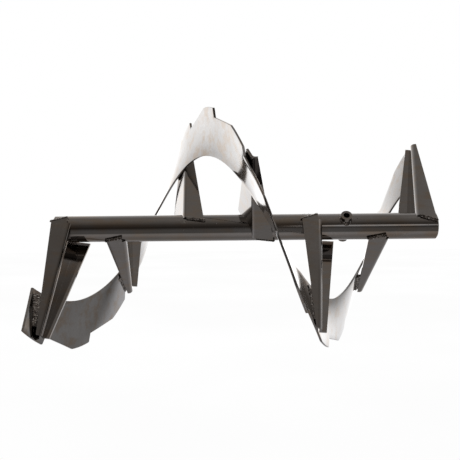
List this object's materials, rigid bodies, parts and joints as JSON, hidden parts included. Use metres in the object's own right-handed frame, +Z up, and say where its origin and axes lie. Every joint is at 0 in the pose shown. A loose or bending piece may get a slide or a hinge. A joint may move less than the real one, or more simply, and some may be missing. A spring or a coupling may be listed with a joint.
{
  "type": "mortar_mixing_paddle",
  "caption": "Horizontal mortar mixing paddle: hollow shaft with seven folded plate arms carrying a toothed right-hand helical ribbon of one and a half turns.",
  "frame": {"origin": "middle of the shaft, on its axis", "axes": "+X along the shaft towards the end with the drive bolt bosses, +Z up, +Y towards the back"},
  "size_m": [0.948, 0.5759, 0.5757],
  "materials": {
    "painted_steel": "glossy dark grey-brown, mirror-like",
    "ribbon_steel": "glossy dark grey, mirror-like, slightly streaked along the roll direction",
    "weld_bead": "rippled weld bead under the same glossy coat, with bright specks of spatter"
  },
  "bodies": {
    "root": {"shaft_tube": "painted_steel", "front_bolt_boss": "painted_steel", "rear_bolt_boss": "painted_steel", "front_boss_weld": "weld_bead", "rear_boss_weld": "weld_bead", "ribbon_flight_1": "ribbon_steel", "ribbon_flight_2": "ribbon_steel", "ribbon_flight_3": "ribbon_steel", "arm_1": "painted_steel", "arm_2": "painted_steel", "arm_3": "painted_steel", "arm_4": "painted_steel", "arm_5": "painted_steel", "arm_6": "painted_steel", "arm_7": "painted_steel", "root_weld_1": "weld_bead", "root_weld_2": "weld_bead", "root_weld_3": "weld_bead", "root_weld_4": "weld_bead", "root_weld_5": "weld_bead", "root_weld_6": "weld_bead", "root_weld_7": "weld_bead", "tip_weld_1": "weld_bead", "tip_weld_2": "weld_bead", "tip_weld_3": "weld_bead", "tip_weld_4": "weld_bead", "tip_weld_5": "weld_bead", "tip_weld_6": "weld_bead", "tip_weld_7": "weld_bead"}
  },
  "joints": []
}
